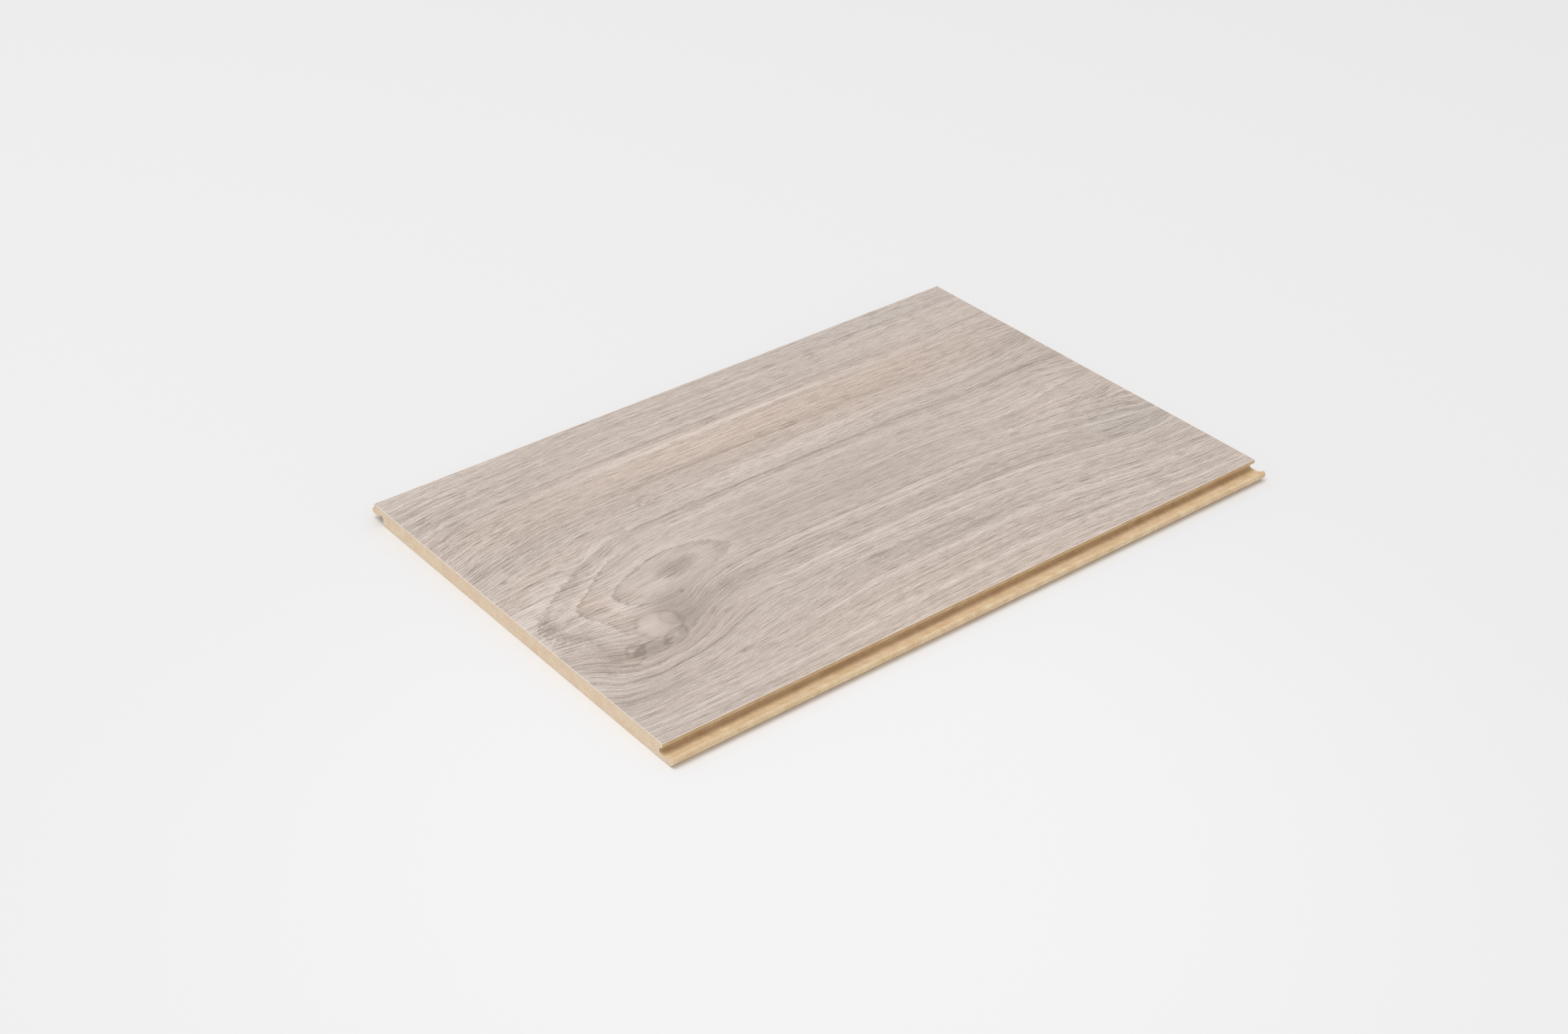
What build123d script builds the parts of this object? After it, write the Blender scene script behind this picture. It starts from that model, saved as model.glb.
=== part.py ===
from build123d import *
from math import radians, sqrt, tan
import os

# Laminate floor sample: a short piece sawn from a click-joint floor board.
# Lengths are in millimetres. X runs along the grain, from the near sawn end to the far one,
# +Y points to the tongue edge, -Y to the groove edge and its lower lip, and +Z out of the face.
# The origin lies on the underside, below the middle of the visible face.

# The board
length = 288.0
face_width = 190.0
thickness = 7.0
decor_thickness = 0.3
backing_thickness = 0.2
edge_ease = 0.12

# Groove edge. A depth is measured down from the face, a reach outward from the face's edge.
upper_lip_depth = 1.55
lip_slope_angle = 34.0
groove_depth = 2.0
groove_corner_radius = 0.45
scoop_depth = 4.6
scoop_radius = 8.1
crest_reach = 5.2
crest_radius = 0.35
shoulder_drop = 0.75
lower_lip_reach = 6.0
lip_chamfer = 1.85

# Room between this profile and that of the next board
joint_clearance = 0.1
tongue_end_gap = 0.3
lip_end_gap = 0.2
tongue_nose_radius = 0.4

# Worked out from the sizes above
groove_y = -face_width / 2
tongue_y = face_width / 2
lip_slope = tan(radians(lip_slope_angle))
scoop_centre_z = thickness - scoop_depth + scoop_radius
seat_radius = scoop_radius - joint_clearance
shoulder_slope = shoulder_drop / (lower_lip_reach - crest_reach)
tongue_reach = groove_depth - tongue_end_gap
pocket_reach = lower_lip_reach + lip_end_gap


def arc_height(radius, reach):
    """Height, at a distance from the joint line, of the circle that shapes scoop and tongue."""
    return scoop_centre_z - sqrt(radius**2 - reach**2)


def groove_outline():
    """Outline of the groove edge, from the face down round the lower lip to the underside."""
    face = (groove_y + edge_ease, thickness)
    lip_top = (groove_y, thickness - edge_ease)
    lip_bottom = (groove_y, thickness - upper_lip_depth)
    groove_top = (groove_y + groove_depth, lip_bottom[1] - groove_depth * lip_slope)
    groove_floor = (groove_y + groove_depth, arc_height(scoop_radius, groove_depth))
    scoop_bottom = (groove_y, arc_height(scoop_radius, 0))
    crest = (groove_y - crest_reach, arc_height(scoop_radius, crest_reach))
    shoulder = (groove_y - lower_lip_reach, crest[1] - shoulder_drop)
    chamfer_top = (groove_y - lower_lip_reach, lip_chamfer)
    chamfer_foot = (groove_y - lower_lip_reach + lip_chamfer, 0)

    Polyline(face, lip_top, lip_bottom, groove_top, groove_floor)
    ThreePointArc(groove_floor, scoop_bottom, crest)
    Polyline(crest, shoulder, chamfer_top, chamfer_foot)
    return face, chamfer_foot, (groove_top, groove_floor), crest


def tongue_outline():
    """Outline of the tongue edge: it fits the groove edge with the joint's clearance."""
    face = (tongue_y - edge_ease, thickness)
    edge_top = (tongue_y, thickness - edge_ease)
    tongue_root = (tongue_y, thickness - upper_lip_depth + joint_clearance)
    nose_top = (tongue_y + tongue_reach, tongue_root[1] - tongue_reach * lip_slope)
    nose_bottom = (tongue_y + tongue_reach, arc_height(seat_radius, tongue_reach))
    seat_bottom = (tongue_y, arc_height(seat_radius, 0))
    pocket_crest = (tongue_y - crest_reach, arc_height(seat_radius, crest_reach))
    pocket_fall = (pocket_reach - crest_reach) * shoulder_slope
    pocket_corner = (tongue_y - pocket_reach, pocket_crest[1] - pocket_fall)
    pocket_foot = (tongue_y - pocket_reach, 0)

    Polyline(face, edge_top, tongue_root, nose_top, nose_bottom)
    ThreePointArc(nose_bottom, seat_bottom, pocket_crest)
    Polyline(pocket_crest, pocket_corner, pocket_foot)
    return face, pocket_foot, (nose_top, nose_bottom)


def board_section():
    """Section across the board: the face between its two click profiles."""
    with BuildSketch(Plane.YZ) as section:
        with BuildLine():
            groove_face, chamfer_foot, groove_corners, crest = groove_outline()
            tongue_face, pocket_foot, nose_corners = tongue_outline()
            Line(groove_face, tongue_face)
            Line(chamfer_foot, pocket_foot)
        make_face()
        for corners, radius in (
            (groove_corners, groove_corner_radius),
            (nose_corners, tongue_nose_radius),
            ((crest,), crest_radius),
        ):
            for y, z in corners:
                corner = section.vertices().sort_by_distance(Vector(y, z))[0]
                fillet(corner, radius)
    return section.sketch


def make_layers():
    """Extrude the section to a whole board and part it at its two glue lines."""
    board = extrude(board_section(), amount=length / 2, both=True)
    core_bottom = Plane.XY.offset(backing_thickness)
    core_top = Plane.XY.offset(thickness - decor_thickness)
    upper_part = split(board, bisect_by=core_bottom, keep=Keep.TOP)
    return {
        "backing_layer": split(board, bisect_by=core_bottom, keep=Keep.BOTTOM),
        "hdf_core": split(upper_part, bisect_by=core_top, keep=Keep.BOTTOM),
        "decor_layer": split(upper_part, bisect_by=core_top, keep=Keep.TOP),
    }


os.makedirs("parts", exist_ok=True)
for node, solid in make_layers().items():
    export_step(solid, f"parts/{node}.step")
    print(node, round(solid.volume), "mm3")
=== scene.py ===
"""Looks of a laminate floor sample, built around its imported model.

X runs along the board's grain, +Y points to the tongue edge, -Y to the groove edge with its lower
lip, and +Z out of the wear face. Blender's unit is the metre. The oak figure and every value whose
name ends in _mm are in millimetres.
"""

import logging
import math
from dataclasses import dataclass, field
from enum import Enum

import bpy
import numpy as np
from bpy.types import Material, Node, NodeSocket, NodeTree, Object
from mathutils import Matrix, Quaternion, Vector
from numpy import ndarray


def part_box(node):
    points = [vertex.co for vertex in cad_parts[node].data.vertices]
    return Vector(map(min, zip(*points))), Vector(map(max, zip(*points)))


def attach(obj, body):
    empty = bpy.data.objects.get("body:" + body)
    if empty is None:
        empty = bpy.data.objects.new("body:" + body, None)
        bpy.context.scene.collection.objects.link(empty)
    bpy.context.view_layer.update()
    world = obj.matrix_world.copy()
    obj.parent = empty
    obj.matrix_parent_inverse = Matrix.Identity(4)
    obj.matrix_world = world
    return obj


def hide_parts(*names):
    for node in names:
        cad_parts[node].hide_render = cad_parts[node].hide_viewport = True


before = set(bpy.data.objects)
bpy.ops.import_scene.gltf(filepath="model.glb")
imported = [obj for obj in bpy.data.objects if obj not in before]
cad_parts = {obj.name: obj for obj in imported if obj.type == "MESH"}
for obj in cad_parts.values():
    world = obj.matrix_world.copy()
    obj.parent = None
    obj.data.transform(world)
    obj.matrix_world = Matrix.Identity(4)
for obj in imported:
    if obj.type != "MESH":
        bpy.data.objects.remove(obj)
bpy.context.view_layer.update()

MM = 0.001
# Where a colour Mix node has its two colours and its result
MIX_A, MIX_B, MIXED = 6, 7, 2

log = logging.getLogger("floor_sample")


class SawnEnd(Enum):
    """The two sawn ends of the board, each named by its column in the face's grid."""

    NEAR = 0
    FAR = -1


def linear(hex_colour: str) -> tuple[float, float, float, float]:
    """Turn an sRGB hex colour into linear light.

    Args:
        hex_colour: six hex digits, as in "C8BBAF".

    Returns:
        Linear red, green and blue, and an alpha of 1.
    """
    channels = [int(hex_colour[i : i + 2], 16) / 255 for i in (0, 2, 4)]
    straight = [c / 12.92 if c <= 0.04045 else ((c + 0.055) / 1.055) ** 2.4 for c in channels]
    return (*straight, 1.0)


def add_node(tree: NodeTree, kind: str, inputs: dict | None = None, **settings: object) -> Node:
    """Add one shader node to a tree.

    Args:
        tree: the node tree.
        kind: the node's class without its first word, as in "Math" for ShaderNodeMath.
        inputs: for each input, by name or number, a value, a socket to link, or a node whose
            first output is linked.
        **settings: the node's own properties.

    Returns:
        The new node.
    """
    made = tree.nodes.new("ShaderNode" + kind)
    for name, value in settings.items():
        setattr(made, name, value)
    for key, value in (inputs or {}).items():
        if isinstance(value, Node):
            value = value.outputs[0]
        if isinstance(value, NodeSocket):
            tree.links.new(value, made.inputs[key])
        else:
            made.inputs[key].default_value = value
    return made


def new_material(name: str) -> tuple[Material, NodeTree]:
    """Start a material with an empty node tree.

    Args:
        name: what the real material is and how its surface was made.

    Returns:
        The material and its tree.
    """
    material = bpy.data.materials.new(name)
    material.use_nodes = True
    material.node_tree.nodes.clear()
    return material, material.node_tree


def finish_material(tree: NodeTree, inputs: dict, bump: tuple[NodeSocket, float] | None = None) -> None:
    """Close a material's tree with its surface shader and output.

    Args:
        tree: the material's tree.
        inputs: the surface shader's inputs.
        bump: the height's socket, in millimetres, and its strength.
    """
    if bump is not None:
        height, strength = bump
        bumped = add_node(tree, "Bump", {"Strength": strength, "Distance": MM, "Height": height})
        inputs = {**inputs, "Normal": bumped.outputs["Normal"]}
    surface = add_node(tree, "BsdfPrincipled", inputs)
    add_node(tree, "OutputMaterial", {"Surface": surface.outputs["BSDF"]})


def position_mm(tree: NodeTree) -> NodeSocket:
    """Give a point's place on the object in millimetres.

    Args:
        tree: the material's tree.

    Returns:
        The socket of the place.
    """
    place = add_node(tree, "TexCoord")
    scaled = add_node(
        tree, "VectorMath", {0: place.outputs["Object"], "Scale": 1 / MM}, operation="SCALE"
    )
    return scaled.outputs["Vector"]


def streak_pattern(
    tree: NodeTree,
    place: NodeSocket | Node,
    size_mm: tuple[float, float],
    stretch: int = 0,
    **texture: float,
) -> Node:
    """Lay a pattern of streaks: the place scaled to a streak's size, and flat noise there.

    Args:
        tree: the material's tree.
        place: the point's place in millimetres, or its fibre's.
        size_mm: a streak's size along X and along Y.
        stretch: which stretch of the noise is read, so that two layers differ.
        **texture: the noise's other inputs.

    Returns:
        The pattern's node.
    """
    scale = (1 / size_mm[0], 1 / size_mm[1], 0)
    offset = (17.3 * stretch, 5.1 * stretch, 0)
    read_at = add_node(
        tree, "VectorMath", {0: place, 1: scale, 2: offset}, operation="MULTIPLY_ADD"
    )
    inputs = {"Vector": read_at, "Scale": 1.0, **texture}
    return add_node(tree, "TexNoise", inputs, noise_dimensions="2D")


def soft_step(values: ndarray, low: float, high: float) -> ndarray:
    """Ease from 0 at low to 1 at high, or the other way round where high is less."""
    share = np.clip((values - low) / (high - low), 0, 1)
    return share * share * (3 - 2 * share)


def soft_noise(x: ndarray, y: ndarray, length_mm: float, width_mm: float, seed: int) -> ndarray:
    """Give smooth noise between -1 and 1, with one swell for each length and width.

    Args:
        x, y: places on the face, in millimetres.
        length_mm: length of a swell along the board.
        width_mm: width of a swell across the board.
        seed: start of the random numbers.

    Returns:
        The noise at each place.
    """
    size = 97
    swells = np.random.default_rng(seed).uniform(-1, 1, (size, size))
    column = np.floor(x / length_mm).astype(int)
    row = np.floor(y / width_mm).astype(int)
    along = soft_step(x / length_mm - column, 0, 1)
    across = soft_step(y / width_mm - row, 0, 1)
    near = swells[row % size, column % size] * (1 - along)
    near += swells[row % size, (column + 1) % size] * along
    far = swells[(row + 1) % size, column % size] * (1 - along)
    far += swells[(row + 1) % size, (column + 1) % size] * along
    return near * (1 - across) + far * across


@dataclass(frozen=True)
class Zone:
    """An oval zone of the printed figure that is lighter, darker, warmer, cooler or busier.

    Sizes are in millimetres on the face, and tones in shares of the print's range. A zone
    with no edge falls off like a bell. With an edge it is even inside, ends over that share
    of its size, and may have a rim of another tone.
    """

    x: float
    y: float
    half_length: float
    half_width: float
    light: float = 0.0
    warm: float = 0.0
    tilt: float = 0.0
    busy: float = 0.0
    edge: float = 0.0
    rim: float = 0.0

    def weights(self, x: ndarray, y: ndarray) -> tuple[ndarray, ndarray]:
        """Weigh the zone and its rim.

        Args:
            x, y: places on the face, in millimetres.

        Returns:
            The zone's weight and its rim's weight at each place.
        """
        turn = math.radians(self.tilt)
        along = (x - self.x) * math.cos(turn) + (y - self.y) * math.sin(turn)
        across = (y - self.y) * math.cos(turn) - (x - self.x) * math.sin(turn)
        out = np.hypot(along / self.half_length, across / self.half_width)
        if not self.edge:
            return np.exp(-(out**2)), np.zeros_like(out)
        body = soft_step(out, 1 + self.edge, 1 - self.edge)
        return body, np.exp(-(((out - 1) / self.edge) ** 2))


@dataclass(frozen=True)
class Ring:
    """One growth ring: its radius in the trunk and the places where the face cuts it."""

    radius: float
    passes: tuple[tuple[float, float], ...]


@dataclass(frozen=True)
class Streak:
    """A long light or dark line that keeps to one fibre, named by its Y at mid-board."""

    level: float
    light: float
    half_width: float
    from_x: float = -200.0
    to_x: float = 200.0

    def tone(self, level: ndarray, x: ndarray) -> ndarray:
        """Give the streak's tone, fading out over 14 mm at its ends.

        Args:
            level: the fibre at each place.
            x: places along the board, in millimetres.

        Returns:
            How much lighter each place is.
        """
        shows = soft_step(x, self.from_x - 7, self.from_x + 7)
        shows = shows * soft_step(x, self.to_x + 7, self.to_x - 7)
        return self.light * shows * np.exp(-(((level - self.level) / self.half_width) ** 2))


@dataclass(frozen=True)
class OakFigure:
    """The printed oak figure of a board sawn flat, a little beside the trunk's heart.

    Each place on the face lies at some radius from the heart. A thin plate bent through the
    growth rings gives that radius all over the face. Fibres run along the rings, apart from
    the noses near the knot and the innermost rings, where they run straight through.
    """

    heart_y: float = -12.0
    heart_depth: float = 18.0
    heart_line: tuple[tuple[float, float], ...] = ((-140, -17), (-118, -16))
    eye_radius: float = 17.0
    plate_unit: float = 60.0
    plate_slack: float = 1e-3
    noses_at: tuple[float, float] = (-130.0, -20.0)
    noses_reach: float = 30.0
    knot: Zone = Zone(-112, -45, 17, 9)
    level_stretch: Zone = Zone(-138, -39, 13, 11)
    rings: tuple[Ring, ...] = (
        Ring(11, ((-80, -12.8),)),
        Ring(13.5, ((-88, -14), (-71, -11.5), (-96, -15))),
        Ring(17, (
            (-108.5, -16.5), (-104, -10), (-95, -5.6), (-84, -2.3), (-73, -1.5), (-62.5, -3.6),
            (-56, -9), (-60, -17), (-71, -22), (-86, -26.5), (-99, -27.5), (-106, -22), (70, -11),
            (88, -8.7), (110, -6.5), (144, -1.5), (82, -15.5), (100, -21.5), (120, -29),
        )),
        Ring(18, ((-44, -12), (0, -12.5), (56, -11.5))),
        Ring(13, ((144, -14), (112, -14))),
        Ring(22.2, (
            (-86, -35), (-79, -31.5), (-70, -28.3), (-55, -25.8), (0, -25.3), (50, -25.3),
            (90, -29.5), (115, -35), (144, -41),
        )),
        Ring(29.5, (
            (-124, -17), (-121, -11), (-115, -7), (-107, -1), (-95, 6), (-80, 10.6), (-50, 11.8),
            (0, 12), (60, 11), (144, 5), (-121, -23), (-118.5, -30),
        )),
        Ring(32, ((-84, -43.5), (-72, -40), (-55, -38.6), (0, -38.6), (60, -40), (144, -49))),
        Ring(35.4, (
            (-141, -17), (-138, -10.5), (-131, -6), (-120, 2), (-107, 9.5), (-92, 15.5), (-70, 18),
            (-20, 19.2), (40, 18.2), (90, 15.2), (144, 15), (-138, -26), (-130, -36), (-144, -43),
            (-137, -50), (-129, -56), (-118, -58.2), (-105, -57.3), (-92, -53.5), (-82, -48),
            (-70, -44.3), (-45, -43.3), (40, -43), (144, -54),
        )),
        Ring(38.5, ((-144, 3), (-130, 9.5), (-112, 16), (-90, 20), (-50, 22), (0, 22.2), (144, 20))),
        Ring(40.1, (
            (-144, -52), (-137, -58.5), (-128, -61.5), (-112, -61.8), (-95, -59.5), (-80, -54.5),
            (-62, -49.8), (-35, -48), (50, -48.5), (144, -59),
        )),
        Ring(45.5, (
            (-144, -60), (-135, -65.5), (-120, -67), (-95, -65), (-72, -60), (-50, -57), (0, -53.8),
            (80, -57.5), (144, -65),
        )),
        Ring(49.3, ((-144, 22), (-130, 27), (-105, 33), (-75, 34.5), (60, 34), (144, 36))),
        Ring(53, ((-144, -69.5), (-120, -72.3), (-90, -70.8), (-45, -64.5), (0, -62), (144, -73))),
        Ring(59.7, ((-144, 34), (-120, 40.5), (-80, 45), (0, 45), (144, 44))),
        Ring(62.5, ((-144, -79), (-90, -79), (-45, -75), (0, -72.5), (50, -72), (144, -81))),
        Ring(74.1, ((-144, 51), (-130, 55.5), (-105, 58.3), (-60, 60.2), (0, 60.5), (144, 60))),
        Ring(74.1, ((-144, -88), (-70, -88), (0, -84.5), (60, -84.5), (144, -91))),
        Ring(93.7, ((-144, 74), (-100, 78.5), (-50, 80.8), (144, 80.5))),
        Ring(108.4, ((-144, 92), (0, 95), (144, 95))),
    )
    zones: tuple[Zone, ...] = (
        # The back edge, cool at the far end and busy at the near one
        Zone(-125, 84, 30, 10, 0.06, -0.2), Zone(95, 88, 80, 9, -0.06, -0.3),
        Zone(-128, 50, 30, 45, busy=0.3),
        # The pale streak and the warm band across the back third
        Zone(-45, 60, 62, 3.5, 0.14, 0.1), Zone(-5, 53, 80, 5.5, 0.14, 0.3),
        Zone(15, 49, 110, 13, 0.03, 0.55), Zone(5, 42, 85, 2.4, -0.2, 0.25),
        Zone(80, 52, 34, 9, 0.04, 0.2), Zone(70, 36, 70, 6, 0.04, 0.25),
        Zone(-115, 46, 36, 10, -0.03, 0.2), Zone(-112, 27, 38, 8, -0.07),
        Zone(125, 30, 34, 9, -0.1), Zone(136, 38, 24, 5, -0.18, -0.05, 8),
        Zone(0, 27, 62, 4, 0.2, 0.1), Zone(60, 18.2, 110, 1.8, -0.12, 0, -1.2),
        Zone(128, 17, 34, 4, -0.14, 0.05),
        # The quiet middle and the pale wedge at the far end
        Zone(0, -9, 68, 11, -0.14, busy=-0.35), Zone(5, 8, 80, 6, 0.05, busy=-0.25),
        Zone(100, 2, 50, 5, 0.16, -0.05), Zone(-82, 5, 40, 5, 0.1),
        Zone(114, -14, 16, 5, 0.14, 0.2, -8), Zone(130, -20, 12, 3.5, -0.2, 0, -22, busy=0.5),
        Zone(130, -28, 16, 9, -0.08), Zone(146, 5, 16, 70, -0.07),
        # Noses of the rings beside the knot: pale fields, tan hearts, a dim outer one
        Zone(-137, 6, 22, 4.5, -0.12, 0.35, 30), Zone(-100, -31, 15, 6, -0.1, busy=-0.2),
        Zone(-110, 19, 22, 2.5, 0.08, 0.3, 16), Zone(-130, -14, 16, 26, busy=0.25),
        Zone(-80, -12, 26, 14, busy=-0.45), Zone(-130, -56, 18, 12, busy=0.15),
        Zone(-129, -13, 4, 11, 0.26, 0, -12), Zone(-125, -30, 4, 7, 0.2),
        Zone(-133, -28, 3.5, 8, -0.14, -0.1, 30), Zone(-117, -13, 5, 7, 0.1, 0.7, 10),
        Zone(-114, -27, 4, 5, 0.08, 0.5, 10), Zone(-111, -19, 2.4, 6, 0.26, 0, 12),
        Zone(-104, -16, 4, 4, -0.05, 0.35),
        # The eye: a dim patch in a pale one
        Zone(-92, -17, 10, 5, 0.16, 0, 8),
        Zone(-78.5, -12.6, 10, 3.8, -0.34, 0, 9, busy=0.2, edge=0.4),
        Zone(-66, -10.5, 6, 3.5, 0.16, 0, 10), Zone(-84, -24, 22, 4, -0.16, 0, 14, busy=-0.35),
        # The knot: a pale round lobe with a dim side, and dark folds below and left of it
        Zone(-106, -51, 26, 10, -0.2, 0.1, 6, busy=-0.5), Zone(-127, -47, 8, 6, -0.36, 0.25, -20),
        Zone(-93, -38, 8, 10, -0.44, 0, -30, busy=-0.3), Zone(-94, -28, 12, 4, -0.14, 0, 10),
        Zone(-104.5, -38.3, 8.6, 7.8, 0.17, 0.1, busy=-0.65, edge=0.1, rim=-0.3),
        Zone(-99.5, -37.5, 2.8, 4.6, -0.13, 0, 14, edge=0.22, rim=-0.24),
        Zone(-107.5, -37, 3.4, 3, 0.14),
        Zone(-120.5, -46.5, 3.6, 3, -0.22, 0, -30, busy=-0.4, edge=0.2, rim=-0.3),
        Zone(-121.5, -45.4, 1.6, 0.7, 0.6, 0, -20, edge=0.6),
        Zone(-122.5, -54, 1.4, 0.8, 0.6, edge=0.5), Zone(-72, -45, 22, 13, busy=-0.3),
        Zone(-114.5, -49, 7, 3.6, -0.36, 0, -4, busy=-0.2, edge=0.12, rim=-0.3),
        Zone(-103.5, -47.6, 5.8, 3.3, -0.2, 0, 22, busy=-0.2, edge=0.14, rim=-0.3),
        Zone(-103.5, -47.2, 2.0, 1.1, 0.35, 0, 30, edge=0.5),
        Zone(-122, -53, 3, 1.0, -0.3, 0, 62, edge=0.5), Zone(-125.5, -50, 3.4, 2.6, 0.25, 0.2, 20),
        Zone(-118, -54.5, 6, 1.6, 0.28),
        # Small dark marks, and two soft fields round the knot
        Zone(-84, -43.4, 2.6, 0.7, -0.4, 0, 42, edge=0.6),
        Zone(-80.5, -46.8, 2.2, 0.7, -0.4, 0, 8, edge=0.5),
        Zone(-86, -27, 1.4, 0.9, -0.5, edge=0.5), Zone(-134, 18, 2.0, 0.9, -0.5, edge=0.5),
        Zone(-89, -70, 2.2, 0.7, -0.4, edge=0.5), Zone(-75, -34, 16, 5, -0.14, 0, 22),
        Zone(-137, -57, 12, 6, 0.16, -0.2, -35),
        # A pin knot in the back half
        Zone(-61.5, 30, 3.6, 1.7, 0.25, 0, -8, edge=0.2, rim=-0.45),
        Zone(-61, 30, 1.2, 0.7, -0.5, edge=0.5),
        # The lower half
        Zone(10, -34, 105, 6, -0.07, 0, -1.5), Zone(-68, -33, 26, 7, -0.12, 0, 16),
        Zone(128, -42, 26, 12, -0.2, -0.5, -14), Zone(-40, -48, 50, 5, 0.06, 0, 4),
        Zone(-80, -64, 40, 4, 0.1, 0, 4), Zone(40, -49, 110, 5, 0.08, 0, -4),
        Zone(40, -60, 90, 3, -0.1, 0, -4), Zone(-135, -70, 25, 5, -0.16, -0.1, -6),
        Zone(65, -66, 55, 8, 0.09), Zone(15, -87, 170, 8, 0.15), Zone(90, -75, 60, 20, busy=0.3),
        Zone(-20, -78, 85, 13, 0.07, 0.3), Zone(-5, -93, 90, 6, 0.02, 0.4),
    )
    streaks: tuple[Streak, ...] = tuple(
        Streak(*row)
        for row in (
            (81.3, 0.2, 0.8, -100, 40), (80.0, -0.22, 0.5, -100, 60), (74.0, 0.18, 0.8, -80, -30),
            (70.8, -0.22, 0.6, -10, 60), (69.5, 0.2, 0.7, -60, 0), (66.0, -0.28, 0.6, -100, 70),
            (62.5, 0.22, 0.8, -80, -20), (60.3, 0.28, 1.1, -100, 45), (51.3, 0.2, 0.8, -40, 0),
            (41.5, -0.22, 1.5, -60, -10), (40.0, -0.24, 0.8, 30, 75), (34.2, -0.26, 0.8, -110, -60),
            (30.5, 0.2, 0.8, 10, 50), (28.0, -0.24, 0.7, 40, 80), (25.0, 0.2, 2.5, -60, 30),
            (20.5, 0.2, 0.8, -100, -60), (18.7, -0.22, 0.8, -80), (18.7, -0.25, 0.7, 0, 30),
            (14.0, -0.34, 0.8, 85), (-7.5, -0.24, 0.4, -5, 15), (-5.0, -0.24, 0.4, 15, 30),
            (-3.0, 0.24, 0.4, 15, 50), (-23.0, -0.26, 0.5, -70, 60), (-25.5, 0.28, 0.8, -70),
            (-28.5, 0.2, 0.6, -70), (-31.0, -0.22, 0.5, -60), (-34.0, -0.06, 2.8, -85),
            (-33.5, -0.26, 0.6, -40, 50), (-38.7, -0.28, 0.7, -52, 60), (-41.0, 0.2, 0.7, -50),
            (-44.0, 0.26, 1.0, -60, 60), (-48.0, -0.24, 0.5), (-47.8, -0.3, 1.0, -160, -75),
            (-49.3, 0.24, 0.5, 0, 60), (-53.5, -0.3, 0.8, -20, 60), (-60.5, -0.26, 0.6, 0, 40),
            (-66.0, 0.24, 0.6, -60, 30), (-71.0, -0.26, 0.6), (-78.0, -0.24, 0.5, 0, 70),
            (-83.0, 0.22, 0.7),
        )
    )

    def describe(self, x: ndarray, y: ndarray) -> dict[str, ndarray]:
        """Work out what the print reads at each place.

        Args:
            x, y: places on the face, in millimetres.

        Returns:
            The value at each place, by the name of its attribute.
        """
        passes = np.array([place for ring in self.rings for place in ring.passes])
        radii = np.array([ring.radius for ring in self.rings for _ in ring.passes])
        radius = self._plate(passes, radii, x, y)
        step_mm = 0.5
        ahead = self._plate(passes, radii, x + step_mm, y)

        side = np.where(passes[:, 1] > self.heart_y, 1, -1)
        reach = np.sqrt(np.clip(radii**2 - self.heart_depth**2, 0, None))
        off_noses = np.hypot(*(passes - self.noses_at).T) > self.noses_reach
        guides = off_noses & (radii != self.eye_radius)
        heights = np.append((side * reach)[guides], [0] * len(self.heart_line)) + self.heart_y
        flow = self._plate(np.vstack((passes[guides], self.heart_line)), heights, x, y)

        # Streaks wander by half a millimetre and come and go, and the zones' outlines wobble
        wander = flow + 0.5 * soft_noise(x, y, 26, 5, 3)
        patchy = 0.85 + 0.4 * soft_noise(x, y, 45, 2.2, 5)
        light = sum(streak.tone(wander, x) for streak in self.streaks) * patchy
        warm = np.zeros_like(x)
        busy = np.ones_like(x)
        wobble = 1.3 * soft_noise(x, y, 3, 1.6, 8)
        for zone in self.zones:
            body, rim = zone.weights(x + wobble, y + 0.4 * wobble)
            light += zone.light * body + zone.rim * rim
            warm += zone.warm * body
            busy += zone.busy * body
        return {
            "grain_flow": flow,
            "ring": radius,
            "ring_slope": (ahead - radius) / step_mm,
            "ring_shows": self._ring_shows(x, y, radius),
            "tone": light,
            "warmth": warm,
            "busy": np.clip(busy, 0.1, None),
        }

    def _plate(self, passes: ndarray, heights: ndarray, x: ndarray, y: ndarray) -> ndarray:
        """Bend a thin plate through given heights and read it at other places.

        Args:
            passes: the places that it passes, in millimetres, one in each row.
            heights: its height at each of them.
            x, y: places on the face, in millimetres.

        Returns:
            Its height at each of those places.
        """
        pinned = passes / self.plate_unit
        count = len(pinned)
        plate = np.zeros((count + 3, count + 3))
        plate[:count, :count] = self._bend(pinned, pinned) + self.plate_slack * np.eye(count)
        plate[:count, count:] = np.column_stack((np.ones(count), pinned))
        plate[count:, :count] = plate[:count, count:].T
        loads = np.linalg.solve(plate, np.append(heights, (0, 0, 0)))
        places = np.column_stack((x, y)) / self.plate_unit
        slope = np.column_stack((np.ones(len(places)), places)) @ loads[count:]
        return self._bend(places, pinned) @ loads[:count] + slope

    @staticmethod
    def _bend(places: ndarray, loads: ndarray) -> ndarray:
        """Give how far a thin plate bends under loads, each of 1.

        Args:
            places: where the bend is read, one place in each row.
            loads: where the loads lie, one in each row.

        Returns:
            The bend at each place, in rows, under each load, in columns.
        """
        squared = (places[:, None, 0] - loads[None, :, 0]) ** 2
        squared += (places[:, None, 1] - loads[None, :, 1]) ** 2
        return squared * np.log(squared + 1e-12)

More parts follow.
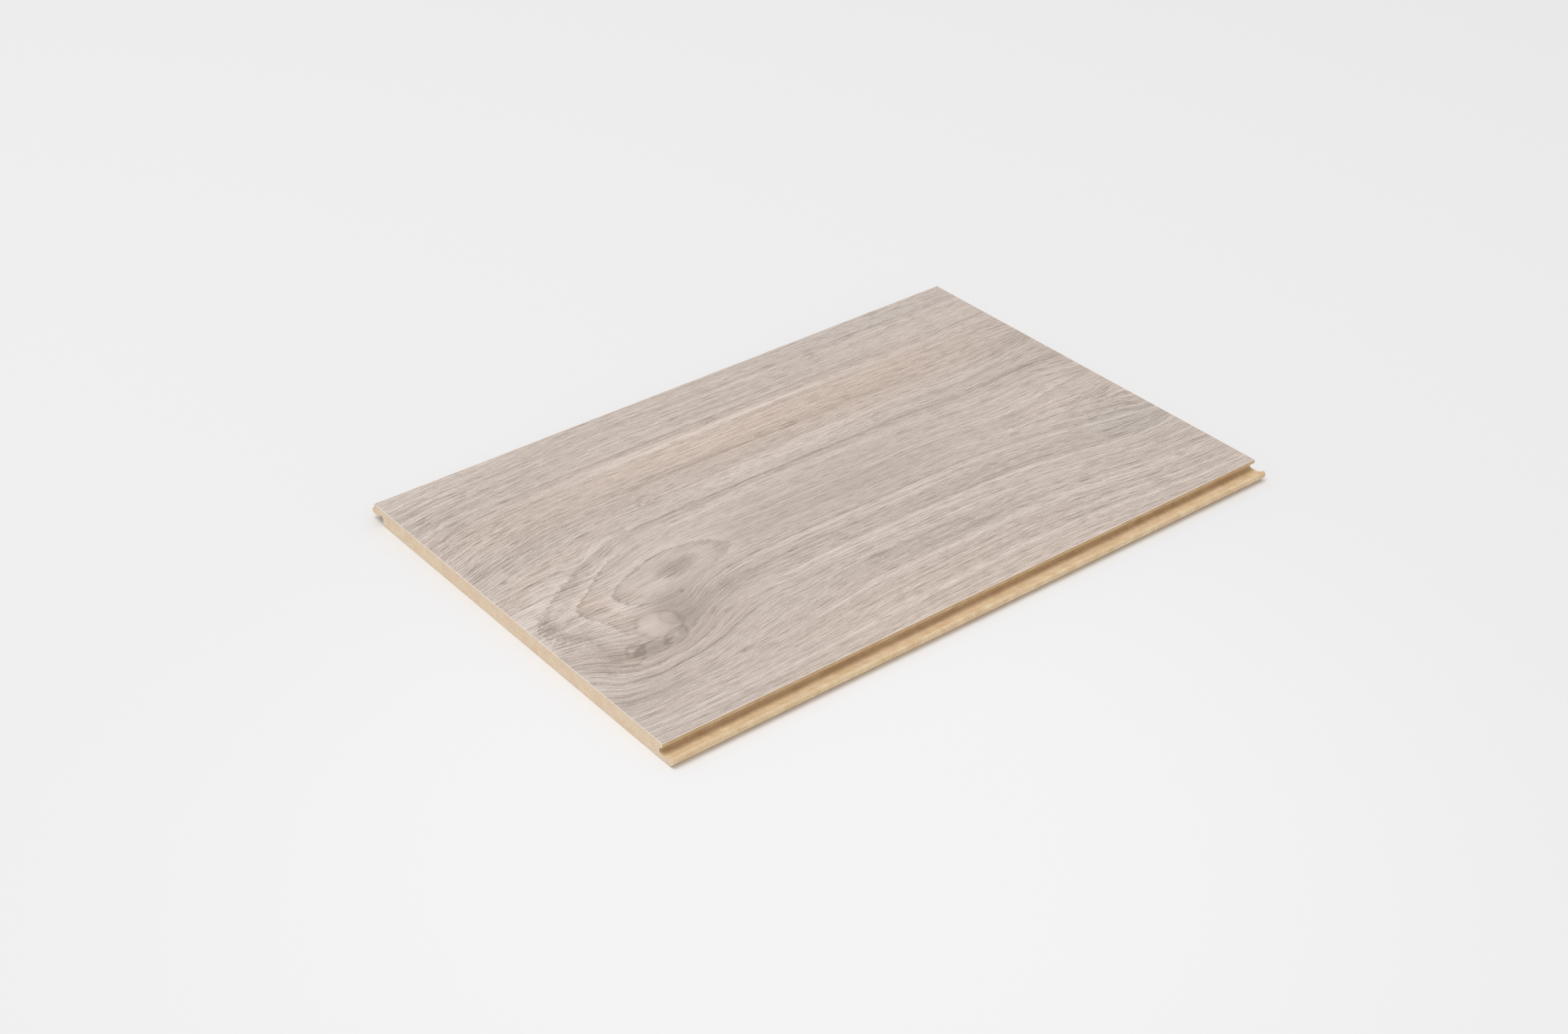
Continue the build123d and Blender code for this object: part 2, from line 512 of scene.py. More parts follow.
    def _ring_shows(self, x: ndarray, y: ndarray, radius: ndarray) -> ndarray:
        """Give how strongly the rings' ragged edges show at each place.

        Args:
            x, y: places on the face, in millimetres.
            radius: the radius of the growth ring at each place.

        Returns:
            Shares from 0 to 1: full at the noses and round the eye, less in the far wedge,
            and faint in the knot and where the radius hardly changes.
        """
        noses = soft_step(x, -76, -98) * soft_step(y, 14, 4)
        upper_arms = 0.3 * soft_step(y, -4, 4) * soft_step(radius, 21, 25)
        inner = soft_step(radius, 21, 19)
        eye = soft_step(x, -46, -52) * (1 - 0.35 * soft_step(x, -70, -60)) * inner
        below_eye = soft_step(y, -17, -22) * soft_step(x, -106, -98) * inner
        wedge = 0.5 * soft_step(x, 66, 106) * inner
        in_knot, _ = self.knot.weights(x, y)
        on_level, _ = self.level_stretch.weights(x, y)
        shows = np.maximum(np.maximum(noses, eye) * (1 - 0.85 * below_eye), wedge)
        shows = np.maximum(shows, upper_arms)
        return shows * np.clip(1 - 1.6 * in_knot, 0, 1) * (1 - 0.9 * on_level)


@dataclass(frozen=True)
class GrainLayer:
    """One scale of streaks along the fibres, with its real length and width in millimetres."""

    length_mm: float
    width_mm: float
    tone: float
    height_mm: float
    detail: float = 2.0


@dataclass(frozen=True)
class EmbossedOakMelamine:
    """Oak print under a clear melamine wear layer, pressed with an embossed steel plate.

    The eye sees a dry, chalky greige oak. The resin over it is thin and only faintly glossy,
    and the pressed pores catch the light along one side.
    """

    dark: str = "93857B"
    middle: str = "CBBCB2"
    light: str = "F0E6DD"
    warm: str = "DBBA9F"
    cool: str = "B9BAB3"
    # Pale colour of the saw's chipped cut, also used as a painted highlight on the eased long edges
    chipped_edge_and_highlight: str = "F0E1D1"
    milled_edge: str = "C8AF93"
    roughness: float = 0.48
    ior: float = 1.5
    layers: tuple[GrainLayer, ...] = (
        GrainLayer(900, 4.8, 0.34, 0.0),
        GrainLayer(320, 1.5, 0.27, 0.03),
        GrainLayer(120, 0.8, 0.38, 0.04),
        GrainLayer(40, 0.5, 0.34, 0.05),
        GrainLayer(10, 0.38, 0.34, 0.05),
        GrainLayer(4, 0.33, 0.52, 0.06, 3.0),
        GrainLayer(0.9, 0.6, 0.30, 0.02),
    )
    # Tone of each growth ring from inside out, by its radius in millimetres: it darkens
    # towards its ragged edge and is palest just outside it
    ring_tones: tuple[tuple[float, float], ...] = (
        (10.0, -0.10), (12.5, -0.06), (14.0, 0.10), (16.1, 0.0), (16.5, -0.30), (17.0, -0.34),
        (17.4, 0.32), (19.0, 0.18), (23.0, 0.04), (27.5, -0.08), (28.5, -0.12), (28.9, -0.40),
        (29.4, -0.44), (29.8, 0.40), (31.3, 0.12), (33.5, -0.10), (34.3, -0.12), (34.7, -0.36),
        (35.2, -0.40), (35.6, 0.32), (38.5, 0.06), (42.0, 0.0),
    )
    tooth_mm: float = 3.0
    scallop_mm: float = 2.0
    fine_pore_mm: tuple[float, float] = (11.0, 0.38)
    pore_tone: float = -0.54
    pore_height_mm: float = -0.05
    tint_share: float = 0.42
    # Along each axis, where the print starts to give way to the pale edge colour and where that colour
    # is
    # full: along X the saw's bare, chipped cut, along Y a painted highlight on the eased long edge
    chip_and_highlight_strips_mm: tuple[tuple[str, float, float], ...] = (("X", 143.55, 144.02), ("Y", 94.50, 94.98))
    milled_from_mm: float = 94.985
    fray_mm: float = 0.3

    def make(self) -> Material:
        """Build the material.

        Returns:
            The finished material.
        """
        material, tree = new_material("oak_print_under_embossed_melamine")
        place = position_mm(tree)
        xyz = add_node(tree, "SeparateXYZ", {0: place})
        read = {
            name: add_node(tree, "Attribute", attribute_name=name).outputs["Fac"]
            for name in (
                "grain_flow", "ring", "ring_slope", "ring_shows", "tone", "warmth", "busy", "pore"
            )
        }
        tone, height = self._grain(tree, place, xyz.outputs["X"], read)
        tone = self._rings(tree, place, read, tone)
        colour = self._print(tree, tone, read["warmth"])
        colour = self._cut_sides(tree, place, xyz, colour)
        finish_material(
            tree, {"Base Color": colour, "Roughness": self.roughness, "IOR": self.ior}, (height, 0.8)
        )
        return material

    def _grain(
        self, tree: NodeTree, place: NodeSocket, along: NodeSocket, read: dict[str, NodeSocket]
    ) -> tuple[NodeSocket, NodeSocket]:
        """Lay streaks of every scale and open pores along the fibres.

        Args:
            tree: the material's tree.
            place: the point's place in millimetres.
            along: its X.
            read: the attributes' sockets by name.

        Returns:
            The sockets of the tone and of the relief's height in millimetres.
        """
        # Fibres waver by a few tenths of a millimetre over 25 mm
        sway = streak_pattern(tree, place, (25, 6), Detail=2.0)
        swayed = add_node(
            tree, "Math", {0: sway, 1: 0.7, 2: read["grain_flow"]}, operation="MULTIPLY_ADD"
        )
        fibre = add_node(tree, "CombineXYZ", {"X": along, "Y": swayed})

        # Streaks of each scale add up to one tone and one height
        total_tone: NodeSocket | float = 0.0
        total_height: NodeSocket | float = 0.0
        for index, layer in enumerate(self.layers):
            size_mm = (layer.length_mm, layer.width_mm)
            streaks = streak_pattern(
                tree, fibre, size_mm, index, Detail=layer.detail, Roughness=0.55
            )
            centred = add_node(tree, "Math", {0: streaks, 1: 0.5}, operation="SUBTRACT")
            total_tone = add_node(
                tree, "Math", {0: centred, 1: 2 * layer.tone, 2: total_tone}, operation="MULTIPLY_ADD"
            ).outputs[0]
            total_height = add_node(
                tree, "Math", {0: centred, 1: layer.height_mm, 2: total_height},
                operation="MULTIPLY_ADD",
            ).outputs[0]

        # Open pores: short dark dashes, some of them pressed in
        fine_pores = streak_pattern(tree, fibre, self.fine_pore_mm, Detail=1.0)
        pore_mask = add_node(
            tree, "MapRange", {"Value": fine_pores, "From Min": 0.60, "From Max": 0.67},
            interpolation_type="SMOOTHSTEP",
        )
        all_pores = add_node(tree, "Math", {0: pore_mask, 1: read["pore"]}, operation="MAXIMUM")
        with_pores = add_node(
            tree, "Math", {0: all_pores, 1: self.pore_tone, 2: total_tone}, operation="MULTIPLY_ADD"
        )
        tone = add_node(
            tree, "Math", {0: with_pores, 1: read["busy"], 2: read["tone"]}, operation="MULTIPLY_ADD"
        )
        height = add_node(
            tree, "Math", {0: pore_mask, 1: self.pore_height_mm, 2: total_height},
            operation="MULTIPLY_ADD",
        )
        return tone.outputs[0], height.outputs[0]

    def _rings(
        self, tree: NodeTree, place: NodeSocket, read: dict[str, NodeSocket], tone: NodeSocket
    ) -> NodeSocket:
        """Shade the growth rings that show as noses, an eye and a wedge.

        Args:
            tree: the material's tree.
            place: the point's place in millimetres.
            read: the attributes' sockets by name.
            tone: the tone so far.

        Returns:
            The socket of the tone with its rings.
        """
        # Each fibre shifts the ring's edge along the board by a millimetre or two, like saw
        # teeth, and scallops of half a millimetre fray it all round
        teeth = streak_pattern(tree, place, (40, 0.8), Detail=3.0, Roughness=0.65)
        shift = add_node(
            tree, "MapRange", {"Value": teeth, "To Min": -self.tooth_mm, "To Max": self.tooth_mm}
        )
        ragged = add_node(
            tree, "Math", {0: shift, 1: read["ring_slope"], 2: read["ring"]}, operation="MULTIPLY_ADD"
        )
        scallops = add_node(tree, "TexNoise", {"Vector": place, "Scale": 0.8})
        scalloped = add_node(
            tree, "Math", {0: scallops, 1: self.scallop_mm, 2: ragged}, operation="MULTIPLY_ADD"
        )
        first, last = self.ring_tones[0][0], self.ring_tones[-1][0]
        shifted = {"From Min": first + self.scallop_mm / 2, "From Max": last + self.scallop_mm / 2}
        share = add_node(tree, "MapRange", {"Value": scalloped, **shifted})
        ramp = add_node(tree, "ValToRGB", {"Fac": share})
        stops = ramp.color_ramp.elements
        while len(stops) < len(self.ring_tones):
            stops.new(0.5)
        for stop, (radius, light) in zip(stops, self.ring_tones):
            stop.position = (radius - first) / (last - first)
            stop.color = (*[0.5 + light / 2] * 3, 1.0)
        centred = add_node(
            tree, "MapRange", {"Value": ramp.outputs["Color"], "To Min": -1.0, "To Max": 1.0}
        )
        return add_node(
            tree, "Math", {0: centred, 1: read["ring_shows"], 2: tone}, operation="MULTIPLY_ADD"
        ).outputs[0]

    def _print(self, tree: NodeTree, tone: NodeSocket, warmth: NodeSocket) -> NodeSocket:
        """Turn tone and warmth into the print's colour.

        Args:
            tree: the material's tree.
            tone: the tone, 0 at the middle.
            warmth: how much warmer than the middle, or cooler where negative.

        Returns:
            The colour's socket.
        """
        share = add_node(tree, "MapRange", {"Value": tone, "From Min": -1.0, "From Max": 1.0})
        ramp = add_node(tree, "ValToRGB", {"Fac": share})
        ramp.color_ramp.elements[0].color = linear(self.dark)
        ramp.color_ramp.elements[1].color = linear(self.light)
        ramp.color_ramp.elements.new(0.5).color = linear(self.middle)
        colour = ramp.outputs["Color"]
        for tint, direction in ((self.warm, self.tint_share), (self.cool, -self.tint_share)):
            amount = add_node(
                tree, "Math", {0: warmth, 1: direction}, operation="MULTIPLY", use_clamp=True
            )
            tinted = add_node(
                tree, "Mix", {0: 1.0, MIX_A: colour, MIX_B: linear(tint)},
                data_type="RGBA", blend_type="COLOR",
            )
            colour = add_node(
                tree, "Mix", {0: amount, MIX_A: colour, MIX_B: tinted.outputs[MIXED]}, data_type="RGBA"
            ).outputs[MIXED]
        return colour

    def _cut_sides(
        self, tree: NodeTree, place: NodeSocket, xyz: Node, colour: NodeSocket
    ) -> NodeSocket:
        """Colour the layer's cut sides: pale where sawn, pale as a painted highlight along the eased
        long edges, and brown where milled.

        Args:
            tree: the material's tree.
            place: the point's place in millimetres.
            xyz: the node that parts it.
            colour: the print's colour.

        Returns:
            The colour's socket.
        """
        frayed = add_node(tree, "TexNoise", {"Vector": place, "Scale": 0.7, "Detail": 2.0})
        half_fray = self.fray_mm / 2
        # Along X the pale strip is the saw's chipped cut; along Y it is a painted highlight on the eased
        # edge
        for axis, starts, ends in self.chip_and_highlight_strips_mm:
            away = add_node(tree, "Math", {0: xyz.outputs[axis]}, operation="ABSOLUTE")
            ragged_reach = add_node(
                tree, "Math", {0: frayed, 1: self.fray_mm, 2: away}, operation="MULTIPLY_ADD"
            )
            strip = {"From Min": starts + half_fray, "From Max": ends + half_fray}
            cut = add_node(tree, "MapRange", {"Value": ragged_reach, **strip})
            colour = add_node(
                tree, "Mix", {0: cut, MIX_A: colour, MIX_B: linear(self.chipped_edge_and_highlight)}, data_type="RGBA"
            ).outputs[MIXED]
        milled = add_node(tree, "Math", {0: away, 1: self.milled_from_mm}, operation="GREATER_THAN")
        return add_node(
            tree, "Mix", {0: milled, MIX_A: colour, MIX_B: linear(self.milled_edge)}, data_type="RGBA"
        ).outputs[MIXED]


@dataclass(frozen=True)
class MilledFibreboard:
    """High-density fibreboard, sawn across and milled along.

    Sawn ends look pale, even and slightly woolly, because the cut fibres scatter the light.
    The cutter burnishes the long profiles, which look browner, with faint lines along them.
    In the groove and under its lip the colour also carries painted shade.
    """

    sawn: str = "F1DCBE"
    sawn_pink: str = "EDD3B7"
    milled: str = "F4DBB6"
    milled_shade: str = "DBBA8F"
    fleck: str = "8A6A45"
    sawn_from_mm: float = 143.98
    # Where the painted groove shade is fullest, inward of the first Y, and where it has faded out
    groove_mm: tuple[float, float] = (95.0, 96.4)
    roughness: float = 0.8
    ior: float = 1.5

    def make(self) -> Material:
        """Build the material.

        Returns:
            The finished material.
        """
        material, tree = new_material("fibreboard_sawn_and_milled")
        place = position_mm(tree)
        xyz = add_node(tree, "SeparateXYZ", {0: place})
        away_x = add_node(tree, "Math", {0: xyz.outputs["X"]}, operation="ABSOLUTE")
        sawn = add_node(tree, "Math", {0: away_x, 1: self.sawn_from_mm}, operation="GREATER_THAN")

        # Fibre bundles of 3 to 8 mm make soft clouds, and the fibres' fleece is drawn at
        # 0.4 mm, coarser than the real one, so that it shows
        clouds = add_node(
            tree, "TexNoise", {"Vector": place, "Scale": 0.22, "Detail": 3.0, "Roughness": 0.6}
        )
        fleece = add_node(
            tree, "TexNoise", {"Vector": place, "Scale": 2.4, "Detail": 3.0, "Roughness": 0.7}
        )
        pinker = add_node(
            tree, "MapRange", {"Value": clouds, "From Min": 0.38, "From Max": 0.66},
            interpolation_type="SMOOTHSTEP",
        )
        sawn_colour = add_node(
            tree, "Mix", {0: pinker, MIX_A: linear(self.sawn), MIX_B: linear(self.sawn_pink)},
            data_type="RGBA",
        )

        # Cutter lines run along the profile, about one for each half millimetre
        lines_at = add_node(
            tree, "VectorMath", {0: place, 1: (0.05, 1.8, 1.8)}, operation="MULTIPLY"
        )
        cutter_lines = add_node(tree, "TexNoise", {"Vector": lines_at, "Scale": 1.0, "Detail": 2.0})
        lined = add_node(tree, "Math", {0: cutter_lines, 1: 0.5, 2: clouds}, operation="MULTIPLY_ADD")
        milled_share = add_node(tree, "MapRange", {"Value": lined, "From Min": 0.5, "From Max": 1.0})
        milled_colour = add_node(
            tree, "Mix",
            {0: milled_share, MIX_A: linear(self.milled_shade), MIX_B: linear(self.milled)},
            data_type="RGBA",
        )
        body = add_node(
            tree, "Mix",
            {0: sawn, MIX_A: milled_colour.outputs[MIXED], MIX_B: sawn_colour.outputs[MIXED]},
            data_type="RGBA",
        )

        # Painted shade: inward of the groove's mouth in Y (inside the groove, under its upper lip and in
        # the tongue side's recess) the colour is an eighth darker, easing back to full brightness over
        # the scoop
        away_y = add_node(tree, "Math", {0: xyz.outputs["Y"]}, operation="ABSOLUTE")
        mouth, inside = self.groove_mm
        painted_groove_shade = add_node(
            tree, "MapRange", {"Value": away_y, "From Min": mouth, "From Max": inside, "To Min": 0.86}
        )
        painted_groove_shade_unsawn = add_node(tree, "Math", {0: painted_groove_shade, 1: sawn}, operation="MAXIMUM")

        # The fleece dims the board by up to a sixth, and a few bark specks are darker
        dimmed = add_node(
            tree, "MapRange",
            {"Value": fleece, "From Min": 0.3, "From Max": 0.7, "To Min": 0.82, "To Max": 1.09},
        )
        # The fleece's dimming, times the painted groove shade
        shade = add_node(tree, "Math", {0: dimmed, 1: painted_groove_shade_unsawn}, operation="MULTIPLY")
        fleecy = add_node(
            tree, "VectorMath", {0: body.outputs[MIXED], "Scale": shade}, operation="SCALE"
        )
        specks = add_node(tree, "TexNoise", {"Vector": place, "Scale": 1.7, "Detail": 1.0})
        speck_mask = add_node(
            tree, "MapRange", {"Value": specks, "From Min": 0.70, "From Max": 0.78, "To Max": 0.45}
        )
        colour = add_node(
            tree, "Mix", {0: speck_mask, MIX_A: fleecy, MIX_B: linear(self.fleck)}, data_type="RGBA"
        )
        finish_material(
            tree,
            {"Base Color": colour.outputs[MIXED], "Roughness": self.roughness, "IOR": self.ior},
            (fleece.outputs["Fac"], 0.10),
        )
        return material


@dataclass(frozen=True)
class KraftBacking:
    """Resin-soaked kraft paper, pressed flat on the underside.

    The eye sees a dull grey-brown sheet with faint fibre clouds.
    """

    paper: str = "D6C6B6"
    shade: str = "BFAB97"
    roughness: float = 0.6
    ior: float = 1.5

    def make(self) -> Material:
        """Build the material.

        Returns:
            The finished material.
        """
        material, tree = new_material("kraft_paper_resin_pressed")
        place = position_mm(tree)
        clouds = add_node(
            tree, "TexNoise", {"Vector": place, "Scale": 0.15, "Detail": 6.0, "Roughness": 0.7}
        )
        colour = add_node(
            tree, "Mix", {0: clouds, MIX_A: linear(self.shade), MIX_B: linear(self.paper)},
            data_type="RGBA",
        )
        finish_material(
            tree,
            {"Base Color": colour.outputs[MIXED], "Roughness": self.roughness, "IOR": self.ior},
            (clouds.outputs["Fac"], 0.05),
        )
        return material


@dataclass
class PressedPores:
    """Pores pressed into the wear layer, each a shallow dash that follows the fibres."""

    count: int = 2200
    lengths_mm: tuple[float, float] = (10.0, 45.0)
    half_widths_mm: tuple[float, float] = (0.2, 0.34)
    depths_mm: tuple[float, float] = (0.025, 0.07)
    darkness: float = 0.3
    bands: int = 34
    band_spread_mm: float = 1.6
    in_bands: float = 0.6
    most_turn: float = 0.7
    seed: int = 7

    def press(self, x: ndarray, y: ndarray, flow: ndarray) -> ndarray:
        """Press the pores into a grid.

        Args:
            x: the grid's places along the board, one for each column, in millimetres.
            y: the grid's places across the board, one for each row, in millimetres.
            flow: the fibre at each row and column.

        Returns:
            The depth in millimetres at each row and column.
        """
        rng = np.random.default_rng(self.seed)
        depth = np.zeros((len(y), len(x)))
        band_places = rng.uniform(y[0], y[-1], self.bands)
        for _ in range(self.count):
            middle = rng.uniform(x[0], x[-1])
            place = rng.uniform(y[0], y[-1])
            if rng.random() < self.in_bands:
                place = rng.choice(band_places) + rng.normal(0, self.band_spread_mm)
            half_length = rng.uniform(*self.lengths_mm) / 2
            half_width = rng.uniform(*self.half_widths_mm)
            deepest = rng.uniform(*self.depths_mm)
            start = int(np.argmin(np.abs(x - middle)))
            for step in (1, -1):
                pore = (start, step, place, half_length, half_width, deepest)
                self._press_half(depth, x, y, flow, pore)
        return depth

    def _press_half(
        self, depth: ndarray, x: ndarray, y: ndarray, flow: ndarray,
        pore: tuple[int, int, float, float, float, float],
    ) -> None:
        """Press one half of a pore, from its middle column outward.

        Args:
            depth: the grid's depth, which the pore is added to.
            x: the grid's places along the board.
            y: the grid's places across the board.
            flow: the fibre at each row and column.
            pore: its middle column, the step from column to column, its Y there, its half
                length, half width and depth.
        """
        start, step, centre, half_length, half_width, deepest = pore
        row_step = (y[-1] - y[0]) / (len(y) - 1)
        row = int(np.clip(round((centre - y[0]) / row_step), 0, len(y) - 1))
        fibre = flow[row, start]
        column = start
        while 0 <= column < len(x) and abs(x[column] - x[start]) < half_length:
            row = int(np.clip(round((centre - y[0]) / row_step), 0, len(y) - 1))
            most = self.most_turn * abs(x[column] - x[column - step * (column != start)])
            centre += np.clip(fibre - flow[row, column], -most, most)
            along = (x[column] - x[start]) / half_length
            low = max(0, int((centre - half_width - y[0]) / row_step))
            high = min(len(y), int((centre + half_width - y[0]) / row_step) + 2)
            if low < high:
                across = (y[low:high] - centre) / half_width
                dent = deepest * (1 - along**2) * np.clip(1 - across**2, 0, None)
                depth[low:high, column] = np.maximum(depth[low:high, column], dent)
            column += step


@dataclass(frozen=True)
class ColumnSpan:
    """A stretch of the face's grid along the board and the spacing of its columns."""

    until_mm: float
    step_mm: float


@dataclass
class DecorLayer:
    """The printed and embossed top layer, as one closed slab with its relief."""

    spans: tuple[ColumnSpan, ...] = (
        ColumnSpan(-130, 1.6), ColumnSpan(-92, 0.75), ColumnSpan(-50, 1.5), ColumnSpan(144, 3.0)
    )
    rows: int = 610
    edge_ease_mm: float = 0.12
    chip_strip_mm: float = 0.25
    chip_depth_mm: float = 0.14
    chip_seed: int = 11
    figure: OakFigure = field(default_factory=OakFigure)
    pores: PressedPores = field(default_factory=PressedPores)
    finish: EmbossedOakMelamine = field(default_factory=EmbossedOakMelamine)

    def build(self) -> Object:
        """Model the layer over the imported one.

        Returns:
            The finished piece.
        """
        low, high = (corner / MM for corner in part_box("decor_layer"))
        x, y = self._lines(low, high)
        piece = self._slab(x, y, low.z, high.z)
        self._shape_face(piece, x, y, high.z)
        piece.data.materials.append(self.finish.make())
        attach(piece, "root")
        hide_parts("decor_layer")
        return piece

    def _lines(self, low: Vector, high: Vector) -> tuple[ndarray, ndarray]:
        """Place the grid's columns and rows.

        Columns lie closest over the knot, and the outermost lines of each side stand at the
        strip that the saw chips or that eases the long edge.

        Args:
            low: the layer's lowest corner, in millimetres.
            high: the layer's highest corner, in millimetres.

        Returns:
            The columns' X and the rows' Y, in millimetres.
        """
        columns = [low.x]
        start = low.x + self.chip_strip_mm
        for span in self.spans:
            end = min(span.until_mm, high.x - self.chip_strip_mm)
            count = round((end - start) / span.step_mm)
            columns += list(np.linspace(start, end, count, endpoint=False))
            start = end
        x = np.array([*columns, start, high.x])
        inner = np.linspace(low.y + self.edge_ease_mm, high.y - self.edge_ease_mm, self.rows - 1)
        return x, np.concatenate(([low.y], inner, [high.y]))

    def _slab(self, x: ndarray, y: ndarray, bottom: float, top: float) -> Object:
        """Model a closed slab whose top is a grid on the given lines.

        Args:
            x: the columns' X, in millimetres.
            y: the rows' Y, in millimetres.
            bottom: the slab's lower Z, in millimetres.
            top: the slab's upper Z, in millimetres.

        Returns:
            The slab, with the grid's points first, row after row.
        """
        bpy.ops.object.select_all(action="DESELECT")
        bpy.ops.mesh.primitive_grid_add(
            x_subdivisions=len(x) - 1, y_subdivisions=len(y) - 1, size=1, location=(0, 0, 0)
        )
        piece = bpy.context.object
        piece.name = "oak_decor_face"
        piece.data.name = "oak_decor_face"
        grid = np.empty((len(y), len(x), 3))
        grid[..., 0] = x[None, :] * MM
        grid[..., 1] = y[:, None] * MM
        grid[..., 2] = top * MM
        piece.data.vertices.foreach_set("co", grid.astype(np.float32).ravel())
        bpy.ops.object.mode_set(mode="EDIT")
        bpy.ops.mesh.select_all(action="SELECT")
        bpy.ops.mesh.region_to_loop()
        bpy.ops.mesh.extrude_edges_move(TRANSFORM_OT_translate={"value": (0, 0, (bottom - top) * MM)})
        bpy.ops.mesh.edge_face_add()
        bpy.ops.mesh.select_all(action="SELECT")
        bpy.ops.mesh.normals_make_consistent(inside=False)
        bpy.ops.object.mode_set(mode="OBJECT")
        return piece

    def _shape_face(self, piece: Object, x: ndarray, y: ndarray, top: float) -> None:
        """Press the relief into the face and store what the print reads.

        Args:
            piece: the slab.
            x: the columns' X, in millimetres.
            y: the rows' Y, in millimetres.
            top: the face's Z, in millimetres.
        """
        count = len(piece.data.vertices)
        places = np.empty(count * 3, np.float32)
        piece.data.vertices.foreach_get("co", places)
        places = places.reshape(-1, 3)
        all_x, all_y = places[:, :2].T.astype(float) / MM
        stored = self.figure.describe(all_x, all_y)
        face = slice(0, len(x) * len(y))
        flow = stored["grain_flow"][face].reshape(len(y), len(x))
        depth = self.pores.press(x, y, flow)
        stored["pore"] = np.zeros(count)
        stored["pore"][face] = self.pores.darkness * (depth / self.pores.depths_mm[1]).ravel()
        for name, values in stored.items():
            attribute = piece.data.attributes.new(name, "FLOAT", "POINT")
            attribute.data.foreach_set("value", values.astype(np.float32))

        face_x = np.repeat(x[None, :], len(y), 0)
        # Most of the saw's chips are tiny and a few are large, each spread over five rows
        rng = np.random.default_rng(self.chip_seed)
        for end in SawnEnd:
            chips = np.convolve(rng.random(len(y)) ** 6, np.ones(5) / 5, "same")
            face_x[:, end.value] += np.copysign(chips * self.chip_strip_mm, -x[end.value])
            depth[:, end.value] += chips * self.chip_depth_mm
        depth[[0, -1], :] += self.edge_ease_mm
        places[face, 0] = face_x.ravel() * MM
        places[face, 2] = (top - depth.ravel()) * MM
        piece.data.vertices.foreach_set("co", places.ravel())
        bpy.ops.object.shade_smooth_by_angle(angle=math.radians(35))


@dataclass
class Board:
    """The whole sample: its embossed face, fibreboard core and paper backing."""

    face: DecorLayer = field(default_factory=DecorLayer)
    core_finish: MilledFibreboard = field(default_factory=MilledFibreboard)
    backing_finish: KraftBacking = field(default_factory=KraftBacking)

    def build(self) -> list[Object]:
        """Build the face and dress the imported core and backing.

        Returns:
            The pieces of the board.
        """
        pieces = [self.face.build()]
        for node, finish in (("hdf_core", self.core_finish), ("backing_layer", self.backing_finish)):
            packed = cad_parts[node]
            packed.data.materials.clear()
            packed.data.materials.append(finish.make())
            pieces.append(packed)
        return pieces


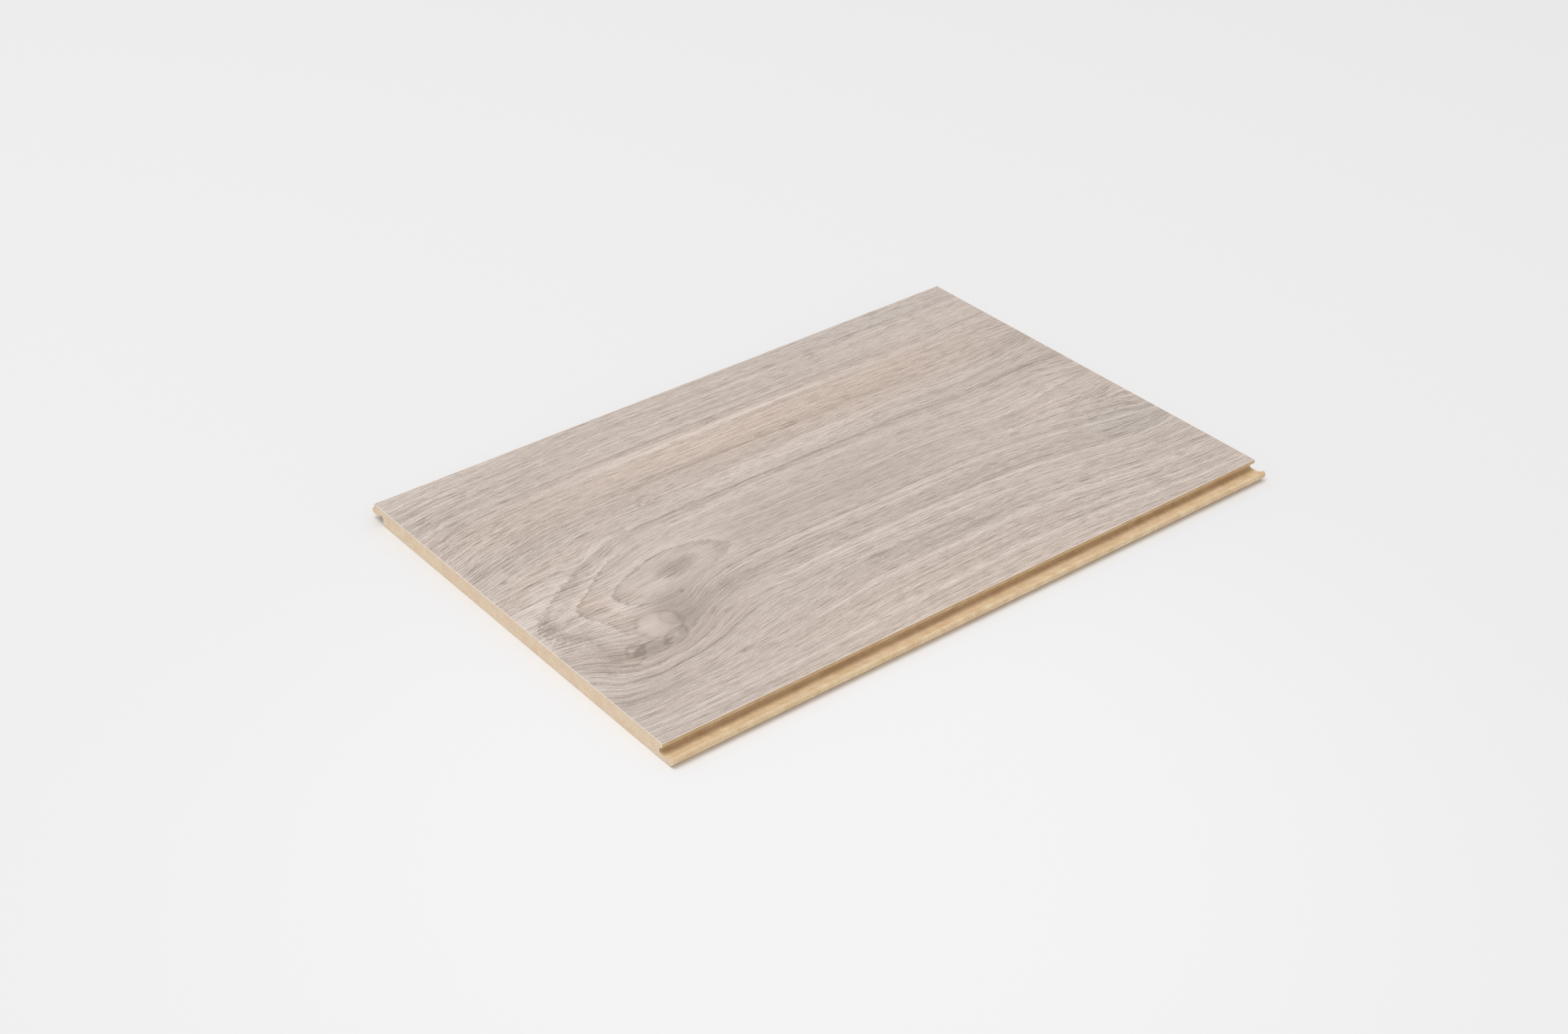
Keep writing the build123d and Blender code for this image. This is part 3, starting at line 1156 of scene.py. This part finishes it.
@dataclass
class Studio:
    """Pale floor, one large soft lamp almost overhead, and the photograph's camera."""

    floor_size: float = 8.0
    floor_colour: str = "F6F6F7"
    # A painted pool of light on the floor: its centre, the distances over which it fades, and the share
    # left at its dimmest
    floor_painted_light_centre_mm: tuple[float, float, float] = (-120.0, -160.0, 0.0)
    floor_painted_falloff_mm: tuple[float, float] = (60.0, 300.0)
    floor_painted_dimmest: float = 0.953
    background: float = 0.88
    sky: float = 0.66
    key_power: float = 36.0
    key_size: float = 1.8
    key_from: tuple[float, float, float] = (-0.7, 0.15, 3.1)
    camera_at: tuple[float, float, float] = (-0.49704, -0.61502, 0.50469)
    camera_aim: tuple[float, float, float] = (-0.02659, -0.01125, 0.007)
    camera_roll: float = -0.4675
    lens_mm: float = 55.0

    def build(self) -> None:
        """Build the floor, the light and the camera."""
        self._floor()
        self._light()
        self._camera()

    def _floor(self) -> None:
        """Lay the pale floor with a painted pool of light: its colour dims a little away from the
        brightest place.
        """
        bpy.ops.object.select_all(action="DESELECT")
        bpy.ops.mesh.primitive_plane_add(size=self.floor_size, location=(0, 0, 0))
        floor = bpy.context.object
        floor.name = "studio_floor"
        material, tree = new_material("matt_paper_sweep")
        place = position_mm(tree)
        away = add_node(tree, "VectorMath", {0: place, 1: self.floor_painted_light_centre_mm}, operation="DISTANCE")
        near, far = self.floor_painted_falloff_mm
        painted_falloff_range = {"From Min": near, "From Max": far, "To Min": 1.0, "To Max": self.floor_painted_dimmest}
        # Painted light: the floor's colour is brightest at the pool's centre and fades outward
        tint = add_node(
            tree, "MapRange", {"Value": away.outputs["Value"], **painted_falloff_range},
            interpolation_type="SMOOTHSTEP",
        )
        colour = add_node(
            tree, "VectorMath", {0: linear(self.floor_colour)[:3], "Scale": tint}, operation="SCALE"
        )
        finish_material(tree, {"Base Color": colour, "Roughness": 0.9, "Specular IOR Level": 0.1})
        floor.data.materials.append(material)

    def _light(self) -> None:
        """Hang one large soft lamp and light the rest from a plain sky."""
        world = bpy.data.worlds.new("studio_sky")
        bpy.context.scene.world = world
        world.use_nodes = True
        tree = world.node_tree
        tree.nodes.clear()
        path = add_node(tree, "LightPath")
        seen = add_node(
            tree, "Math", {0: path.outputs["Is Camera Ray"], 1: path.outputs["Is Glossy Ray"]},
            operation="MAXIMUM",
        )
        strength = add_node(
            tree, "MapRange", {"Value": seen, "To Min": self.sky, "To Max": self.background}
        )
        sky = add_node(tree, "Background", {"Color": (1, 1, 1, 1), "Strength": strength})
        add_node(tree, "OutputWorld", {"Surface": sky})

        lamp = bpy.data.lights.new("softbox", "AREA")
        lamp.shape = "SQUARE"
        lamp.size = self.key_size
        lamp.energy = self.key_power
        key = bpy.data.objects.new("softbox", lamp)
        key.location = self.key_from
        key.rotation_mode = "QUATERNION"
        key.rotation_quaternion = (-Vector(self.key_from)).to_track_quat("-Z", "Y")
        bpy.context.scene.collection.objects.link(key)

    def _camera(self) -> None:
        """Set up the photograph's camera."""
        lens = bpy.data.cameras.new("photo_camera")
        lens.sensor_width = 36.0
        lens.lens = self.lens_mm
        lens.clip_start = 0.01
        lens.clip_end = 50.0
        camera = bpy.data.objects.new("photo_camera", lens)
        camera.location = self.camera_at
        camera.rotation_mode = "QUATERNION"
        level = (Vector(self.camera_aim) - Vector(self.camera_at)).to_track_quat("-Z", "Y")
        camera.rotation_quaternion = level @ Quaternion((0, 0, 1), math.radians(self.camera_roll))
        bpy.context.scene.collection.objects.link(camera)
        bpy.context.scene.camera = camera


def main() -> None:
    """Build the board and its studio, and report each piece."""
    logging.basicConfig(level=logging.INFO, format="%(name)s: %(message)s")
    bpy.context.scene.view_settings.view_transform = "Standard"
    for piece in Board().build():
        log.info("%s: %d faces", piece.name, len(piece.data.polygons))
    Studio().build()


if __name__ == "__main__":
    main()
